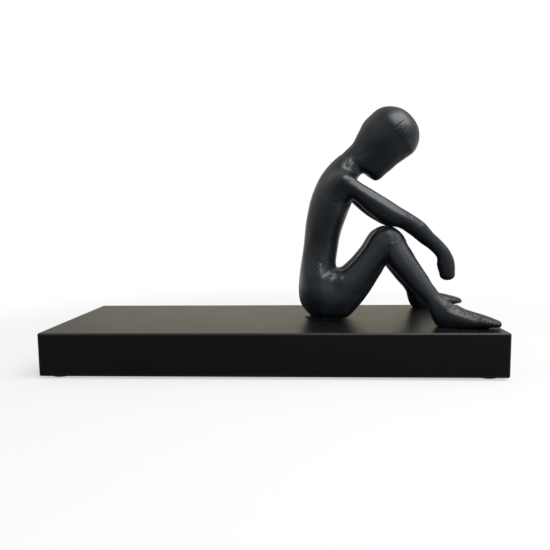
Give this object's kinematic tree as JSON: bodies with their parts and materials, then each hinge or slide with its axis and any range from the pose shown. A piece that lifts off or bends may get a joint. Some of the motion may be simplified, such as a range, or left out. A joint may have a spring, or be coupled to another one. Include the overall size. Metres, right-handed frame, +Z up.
{
  "type": "seated figure ornament",
  "caption": "Slender seated figure with drawn-up knees, bowed plain head and arms hanging over the knees, on a long low plinth; a tabletop ornament.",
  "frame": {"origin": "on the table under the middle of the plinth, level with the undersides of the pads", "axes": "+Z up, +X along the plinth towards the figure's toes, +Y to the figure's left"},
  "size_m": [0.4, 0.15, 0.24],
  "materials": {
    "casting": "satin black paint over a sand-cast surface, with soft dents, nicks and weld marks",
    "plinth": "smooth satin black paint, slightly worn along the edges",
    "screw": "zinc plated",
    "pad": "pressed felt"
  },
  "bodies": {
    "root": {"torso": "casting", "head": "casting", "right_arm": "casting", "left_arm": "casting", "right_leg": "casting", "left_leg": "casting", "seat_disc": "casting", "plinth": "plinth", "screw_seat_left": "screw", "screw_seat_right": "screw", "screw_foot_left": "screw", "screw_foot_right": "screw", "washer_seat_left": "screw", "washer_seat_right": "screw", "washer_foot_left": "screw", "washer_foot_right": "screw", "pad_front_right": "pad", "pad_front_left": "pad", "pad_back_right": "pad", "pad_back_left": "pad"}
  },
  "joints": []
}
